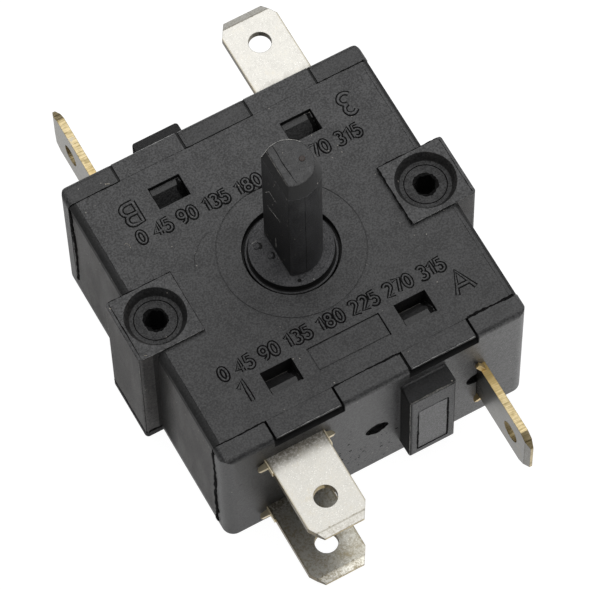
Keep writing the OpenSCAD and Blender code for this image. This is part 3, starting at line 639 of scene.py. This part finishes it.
def spindle_zones(finish):
    """The top with painted light and its own blotches, painted shade on the flat and the taper, a painted
    highlight on the shaft's front, the hub's disc, painted shade on its wall and in the gap below, and painted
    light on the ring.
    """
    x, y, z = finish.axes(finish.spot())
    facing_x, facing_y, facing_z = finish.facing()
    blot = finish.rise(finish.noise(finish.spot(), 1.7, 4, 0.65), 0.35, 0.68)
    from_axis = finish.reach(x, y)
    top = z > shaft_top - 0.05
    above_hub = (z > hub_top + 0.15) * (1 - top)
    flat = (facing_x < -0.8) * above_hub
    tapered = (z > taper_from + 0.02) * above_hub
    streak = finish.noise(finish.spot((1, 1, 0.3)), 0.8, 2, 0.5)
    front = finish.rise(streak + facing_x * 0.3 - facing_y * 0.4, 0.3, 1.0)
    disc = (z > hub_top - 0.04) * (z < hub_top + 0.15)
    disc_wall = (z < hub_top - 0.04) * (abs(facing_z) < 0.7)
    return [
        # Painted light: the top lighter, with blotches of its mottled tone.
        (top, (1.2, 1.2, 1.2), -0.05, 0),
        (top * blot, (3.0, 3.0, 2.9), -0.1, 1.5),
        # Painted shade on the flat, darkest on its taper.
        (flat * (1 - tapered), (0.45, 0.45, 0.48), 0.1, 0),
        (flat * tapered, (0.2, 0.2, 0.2), 0.4, 0),
        # A painted highlight down the round front of the shaft.
        (front * above_hub * (1 - flat) * (1 - tapered), (3.0, 3.0, 3.0), 0.0, 0),
        # Painted shade on the round taper.
        (tapered * (1 - flat), (0.5, 0.5, 0.5), 0.25, 0),
        (disc, (4.6, 4.6, 4.6), 0.0, 4.0),
        # Painted shade on the wall of the hub's disc.
        (disc_wall, (0.15, 0.15, 0.15), 0.3, 0),
        # The ring below the disc painted lighter, painted light; painted shade in the gap under the disc.
        ((z < hub_shoulder) * (facing_z > 0.7) * (from_axis > disc_r), (3.0, 3.0, 3.0), 0.0, 1.0),
        ((z < hub_shoulder) * (from_axis < disc_r), (0.1, 0.1, 0.1), 0.5, 0),
    ]


shaft_black = moulded("shaft_black", (0.007, 0.007, 0.0075), (0.024, 0.024, 0.025), 0.36, 0.03, 0.14,
                      zones=spindle_zones, edge=0.25)
line_black = moulded("line_black", (0.004, 0.004, 0.004), (0.012, 0.012, 0.012), 0.5, 0.01, 0.0)
line_black.set(Specular_IOR_Level=0.15)
# Light grey for the scratches and flecks, and for painted glints on the shaft's top rim and the ejector marks.
scratch_and_glint_grey = moulded("scratch_and_glint_grey", (0.22, 0.22, 0.21), (0.75, 0.73, 0.69), 0.5, 0.02, 0.0)
gate_brown = moulded("gate_brown", (0.02, 0.012, 0.009), (0.06, 0.035, 0.026), 0.4, 0.02, 0.0)
dress(shaft_black, "spindle")
ragged_lines(line_black, "rotor", {
    "parting_line_top": ([(-0.45, 2.3, shaft_top), (-0.5, 0.3, shaft_top), (-0.36, -2.2, shaft_top)],
                         upward, 0.11, 0.03),
    "parting_line_front": ([(0, -shaft_r, hub_top), (0, -shaft_r, taper_from)], (0, -1, 0), 0.055, 0.015),
    "parting_line_rear": ([(0, shaft_r, hub_top), (0, shaft_r, taper_from)], (0, 1, 0), 0.055, 0.015),
})
# A painted highlight along the top's edge at the flat.
ragged_lines(edge_glint_and_wear_black, "rotor", {
    "top_edge_flat": ([(flat_x_at_top, 2.05, shaft_top), (flat_x_at_top, -2.0, shaft_top)], upward, 0.06, 0.01),
})
ragged_lines(scratch_and_glint_grey, "rotor", {
    "scratch_high": ([(flat_x, 2.0, 27.84), (flat_x, 1.15, 29.4), (flat_x, -0.22, 29.35)],
                     (-1, 0, 0), 0.08, thin),
    "scratch_middle": ([(flat_x, 1.69, 25.62), (flat_x, -0.91, 26.52)], (-1, 0, 0), 0.06, thin),
    "scratch_low": ([(flat_x, 0.17, 21.18), (flat_x, 0.14, 19.27)], (-1, 0, 0), 0.13, 0.015),
})
# Painted highlights along the top's rim at the rear and down the corner of the flat.
crown = [(x, y, shaft_top - 0.03) for x, y in bow(0, 0, 2.5, 2.5, 120, 35, 17)]
ragged_lines(scratch_and_glint_grey, "rotor", {
    "top_edge_rear": (crown, (0, 1, 1), 0.09, 0.02),
    "top_edge_corner": ([(-1.56, 2.62, taper_from), (flat_x_at_top, 2.13, shaft_top)], (-1, 1, 1), 0.13, 0.02),
})
finished(button("gate_stub", 1.32, -0.19, shaft_top, 0.3, 0.07), gate_brown, "rotor")
for number, (x, y, radius) in enumerate([(-2.91, 1.74, 0.33), (-2.27, 0.2, 0.36)]):
    rim = button("ejector_mark_%d" % number, x, y, hub_top, radius, 0.14)
    finished(rim, shaft_black, "rotor")
    # Beside each ejector mark: a painted shadow on its right, a painted glint on its left.
    for name, finish, start, stop, wide in [("dent", line_black, -80, 60, 0.42),
                                            ("glint", scratch_and_glint_grey, 130, 200, 0.035)]:
        arc = [(px, py, hub_top) for px, py in bow(x, y, radius, radius, start, stop, 8)]
        ragged_lines(finish, "rotor", {
            "ejector_%s_%d" % (name, number): (arc, upward, wide, 0.02),
        })
finished(button("ejector_mark_2", -1.05, -3.51, hub_top, 0.2, 0.03), line_black, "rotor")
ragged_lines(scratch_and_glint_grey, "rotor", {
    "fleck_hub": ([(0.2, -4.02, hub_top), (0.28, -4.1, hub_top)], upward, 0.1, 0.03),
    "fleck_hub_rear": ([(-3.3, 2.2, hub_top), (-2.6, 2.3, hub_top)], upward, 0.04, 0.02),
})


# Cover
# The same black nylon with a spark-eroded, matt top. Terminal marks and the positions in degrees stand proud
# of it in fine letters, each ringed by a dark outline of painted shade.

screw_x = 15
edge_x = 15.93
boss_x, boss_y = 18.7, 3.55
pad_top = cover_top + 0.4
screw_floor = pad_top - 0.92


def cover_zones(finish):
    """The plate painted lighter towards the rear, the seats, a painted sheen on the skirts, and painted shade
    beside the left boss, in the holes, the counterbores, the windows and on the long edges' rounding; the hooks
    painted lighter.
    """
    x, y, z = finish.axes(finish.spot())
    _, facing_y, facing_z = finish.facing()
    flank = (1 - finish.rise(abs(facing_z), 0.3, 0.7)) * (abs(x) > 16.4)
    streak = finish.rise(finish.noise(finish.spot((0.35, 0.35, 0.12)), 1, 3, 0.6), 0.35, 0.65)
    from_shaft = finish.reach(x, y)
    from_screw = finish.reach(abs(x) - screw_x, y)
    below = z < cover_top - 0.03
    window = (abs(abs(x) - catch_x) < 1.9) * (abs(abs(y) - catch_y) < 1.45)
    recess = (from_screw < 3.2) * (z < pad_top - 0.04)
    hook = (abs(y) > 16.2) * (z < 15.3)
    rounding = ((x > 16.3) | (x < -15.95)) * (abs(x) < 16.69) * (z > 16.2) * (abs(y) > 3.6)
    beside_boss = (x > -17.2) * (x < 0) * finish.rise(y, -7, -4.3) * (y < -3.4)
    return [
        # Painted light: the plate lighter towards the rear.
        (finish.rise(y, -15, 15) * (1 - below), (1.5, 1.5, 1.5), 0.0, 0),
        (z > cover_top + 0.02, (1.25, 1.25, 1.25), 0.0, 0),
        # Painted shade on the rounding of the long edges.
        (rounding, (0.3, 0.3, 0.3), 0.2, 0),
        # A painted brownish sheen in streaks on the skirts, and painted shade on the skirt in front of the left
        # boss.
        (flank * streak, (1.75, 1.65, 1.55), 0.03, 0),
        (flank * beside_boss, (0.3, 0.3, 0.3), 0.25, 0),
        (flank * (1 - streak), (1.25, 1.16, 1.08), 0.1, 0),
        # Painted shade in the shaft's hole, on the counterbores' walls and deep in the screw holes.
        ((from_shaft < 4.95) * below, (0.3, 0.3, 0.3), 0.2, 0),
        (recess * (from_screw > 2.6), (0.4, 0.4, 0.4), 0.1, 0),
        (recess * (from_screw < 2.6), (1.0, 1.0, 1.0), 0.05, 2.5),
        (recess * (from_screw < 1.5) * (z < cover_top - 0.6), (0.02, 0.02, 0.02), 0.4, 0),
        # Painted shade in the windows.
        (window * below, (0.35, 0.35, 0.35), 0.1, 0),
        # The hooks' faces painted lighter, painted light.
        (hook, (3.2, 3.2, 3.2), -0.08, 0),
    ]


cover_black = moulded("cover_black", (0.007, 0.007, 0.0075), (0.060, 0.060, 0.061), 0.5, 0.035, 0.07,
                      zones=cover_zones)
dress(cover_black, "cover")


def screw_ring(side, radius, count):
    """Points round a screw hole, on the floor of its counterbore."""
    turns = [2 * pi * k / count for k in range(count)]
    return [(side * screw_x + radius * cos(t), radius * sin(t), screw_floor) for t in turns]


for side in (-1, 1):
    hand = "left" if side < 0 else "right"
    # Painted shade along the seats' rear, inner and outer edges.
    ragged_lines(painted_shade_and_mark_black, "case", {
        "pad_rear_" + hand: ([(side * 18.3, 3.5, pad_top), (side * 11.5, 3.5, pad_top)], upward, 0.12, 0.008),
        "pad_inner_" + hand: ([(side * 11.52, 3.5, pad_top), (side * 11.52, -3.5, pad_top)],
                              upward, 0.06 if side < 0 else 0.2, 0.008),
        "pad_outer_" + hand: ([(side * 18.35, 3.3, pad_top), (side * 18.35, -3.3, pad_top)],
                              upward, 0.12, 0.01),
    })
    core = ridge("core_line_" + hand, screw_ring(side, 2.14, 96), upward, 0.12, 0.008, True, 0.9)
    finished(core, painted_shade_and_mark_black, "case")
    # Painted shade: a dark ragged ring at the mouth of the screw hole.
    mouth = ridge("hexagon_burr_" + hand, screw_ring(side, 1.16, 44), upward, 0.34, thin, True, 1.2)
    finished(mouth, painted_shade_and_mark_black, "case")
    # A painted glint along the seat's front edge.
    ragged_lines(painted_glint_grey, "case", {
        "pad_front_edge_" + hand: ([(side * 11.6, -3.54, pad_top), (side * 18.2, -3.54, pad_top)],
                                   (0, -1, 1), 0.03, 0.01),
    })
    for end in (-1, 1):
        place = "%s_%s" % (hand, "front" if end < 0 else "rear")
        # Painted shade along the cover's creases at the tongues and where its long edges begin to round.
        ragged_lines(painted_shade_and_mark_black, "case", {
            "crease_" + place: ([(side * 3.9, end * seam_y, cover_top), (side * 10.9, end * seam_y, cover_top)],
                                upward, 0.045, 0.008),
            "edge_line_" + place: ([(side * edge_x, end * 3.6, cover_top),
                                    (side * edge_x, end * 14.6, cover_top)], upward, 0.05, 0.008),
        })
        tip_y, tip_z = end * 16.8, cover_top - 0.06
        # A painted glint along each tongue's front edge.
        ragged_lines(painted_glint_grey, "case", {
            "tongue_edge_" + place: ([(side * 3.95, tip_y, tip_z), (side * 10.85, tip_y, tip_z)],
                                     (0, end, 1), 0.1, 0.015),
        })
lint = moulded("lint", (0.30, 0.26, 0.20), (0.60, 0.56, 0.48), 0.7, 0.02, 0.0)
ragged_lines(lint, "case", {
    "fibre_left": ([(-13.95, 8.35, cover_top), (-13.75, 8.5, cover_top), (-13.5, 8.2, cover_top),
                    (-13.55, 7.75, cover_top)], upward, 0.05, 0.02),
    "fleck_rear": ([(-12.5, 15.2, cover_top), (-12.05, 15.0, cover_top)], upward, 0.12, 0.03),
    "fleck_boss": ([(-18.5, 2.9, pad_top), (-18.38, 2.75, pad_top)], upward, 0.1, 0.03),
    "fleck_corner": ([(-17.9, -3.2, pad_top), (-17.7, -3.3, pad_top)], upward, 0.08, 0.03),
})
# Lighter ragged lines down the boss's left corners, part burr, part painted highlight.
ragged_lines(edge_glint_and_wear_black, "case", {
    "boss_burr_left": ([(-18.65, -3.33, 17.2), (-18.65, -3.33, 13.4)], (-1, -0.4, 0), 0.1, 0.02),
    "boss_burr_rear_left": ([(-18.67, 3.33, 17.6), (-18.67, 3.33, 12.5)], (-1, 0.3, 0), 0.12, 0.025),
})
foot_z = 1.05
boss_corner = [(-boss_x, -3.15, foot_z), (-18.58, -3.43, foot_z), (-18.3, -boss_y, foot_z)]
# Apart from the flow line, a real mark, these dark lines are painted shade: in the corners between the cover
# and the base, down the boss's front corner, round the boss's foot and along the panel's rear and right edges.
ragged_lines(painted_shade_and_mark_black, "case", {
    "flow_line": ([(-6.1, 5.6, cover_top), (-7.2, 5.2, cover_top), (-8.65, 3.9, cover_top),
                   (-9.3, 2.5, cover_top)], upward, 0.045, 0.006),
    "corner_gap_shade_front_left": ([(-16.75, -14.95, 16.9), (-16.86, -14.92, 0.5)], (-1, 0, 0), 0.6, 0.1),
    "corner_gap_shade_rear_left": ([(-16.72, 14.6, 16.9), (-16.8, 14.1, 10.5), (-16.84, 14.0, 6.5),
                                (-16.86, 14.2, 2.5)], (-1, 0, 0), 0.5, 0.08),
    "corner_gap_shade_front_right": ([(16.75, -14.85, 16.9), (16.86, -14.85, 0.5)], (1, 0, 0), 0.16, 0.05),
    "corner_gap_shade_rear_right": ([(16.75, 14.85, 16.9), (16.86, 14.85, 0.5)], (1, 0, 0), 0.16, 0.05),
    "boss_edge_front_left": ([(-18.58, -3.43, 17.7), (-18.58, -3.43, 1.2)], (-1, -1, 0), 0.08, 0.01),
    "boss_foot_outer": ([(-boss_x, 3.2, foot_z), boss_corner[0]], (-1, 0, 0), 0.5, 0.03),
    "boss_foot_corner": (boss_corner, (-1, -1, 0), 0.5, 0.03),
    "boss_foot_front": ([boss_corner[-1], (-16.9, -boss_y, foot_z)], (0, -1, 0), 0.5, 0.03),
    "panel_line_rear": ([(-3.9, -10.08, cover_top), (3.93, -10.08, cover_top)], upward, 0.08, 0.008),
    "panel_line_right": ([(3.95, -10.1, cover_top), (3.95, -12.7, cover_top)], upward, 0.12, 0.008),
})

# Each letter has its width and the strokes that an engraver cuts for it, in shares of the letter's height.
strokes = {
    " ": (0.45, []),
    "0": (0.74, [bow(0.31, 0.5, 0.26, 0.46, 0, 360)]),
    "1": (0.58, [[(0.08, 0.70), (0.34, 0.96), (0.34, 0.5), (0.34, 0.04)]]),
    "2": (0.74, [bow(0.31, 0.70, 0.24, 0.26, 160, -35) + [(0.07, 0.04), (0.57, 0.04)]]),
    "3": (0.72, [bow(0.29, 0.74, 0.22, 0.22, 150, -85) + bow(0.29, 0.27, 0.26, 0.24, 85, -150)]),
    "4": (0.76, [[(0.46, 0.04), (0.46, 0.96), (0.06, 0.30), (0.60, 0.30)]]),
    "5": (0.74, [[(0.54, 0.96), (0.14, 0.96), (0.11, 0.52)] + bow(0.29, 0.31, 0.27, 0.28, 125, -150)]),
    "7": (0.72, [[(0.05, 0.96), (0.56, 0.96), (0.24, 0.04)]]),
    "8": (0.74, [bow(0.31, 0.74, 0.20, 0.21, 0, 360), bow(0.31, 0.28, 0.26, 0.25, 0, 360)]),
    "9": (0.74, [bow(0.31, 0.69, 0.25, 0.27, 0, 360),
                 [(0.56, 0.69), (0.53, 0.40), (0.40, 0.14), (0.18, 0.05)]]),
    "A": (0.84, [[(0.03, 0.04), (0.40, 0.96), (0.77, 0.04)], [(0.16, 0.34), (0.64, 0.34)]]),
    "B": (0.74, [[(0.08, 0.04), (0.08, 0.96), (0.40, 0.96)] + bow(0.40, 0.74, 0.22, 0.22, 90, -90)
                 + [(0.08, 0.52)],
                 [(0.10, 0.52)] + bow(0.40, 0.28, 0.26, 0.24, 90, -90) + [(0.08, 0.04)]]),
}


def letters(name, text, x, y, height, length, turned, width, rise):
    """Letters on the cover, each stroke a ridge of the given width and rise, in millimetres."""
    mesh = bmesh.new()
    stretch = length / sum(strokes[letter][0] for letter in text)
    way = -1 if turned else 1
    place = -length / 2
    for letter in text:
        advance, lines = strokes[letter]
        for line in lines:
            closed = (Vector(line[0]) - Vector(line[-1])).length < 0.01
            points = [(x + way * (place + u * stretch), y + way * (v - 0.5) * height, cover_top)
                      for u, v in (line[:-1] if closed else line)]
            strip(mesh, points, upward, width, rise, closed, 0.12)
        place += advance * stretch
    return link(name, mesh)


step_turn, step_count = 45, 8
degrees = " ".join(str(step_turn * step) for step in range(step_count))

# Each mark has its text, its centre, its height and length, and whether it reads from the rear.
marks = {
    "terminal_mark_1": ("1", -11.1, -11.1, 2.6, 1.5, False),
    "terminal_mark_a": ("A", 12.7, -11.0, 2.6, 2.3, False),
    "terminal_mark_3": ("3", 12.4, 11.3, 2.6, 1.9, True),
    "terminal_mark_b": ("B", -11.8, 11.0, 2.6, 1.9, True),
    "positions_front": (degrees, -0.15, -8.45, 1.5, 24.9, False),
    "positions_rear": (degrees, 0.0, 8.3, 1.5, 25.0, False),
}
shade_outline_width = 0.28
for name, (text, x, y, height, length, turned) in marks.items():
    core = 0.12 + 0.09 * height
    raised = letters(name, text, x, y, height, length, turned, core, 0.05)
    finished(raised, cover_black, "case")
    # Painted shade: a flat dark outline round each letter's strokes.
    outline = letters(name + "_outline", text, x, y, height, length, turned, core + 2 * shade_outline_width, 0.006)
    finished(outline, painted_shade_and_mark_black, "case")
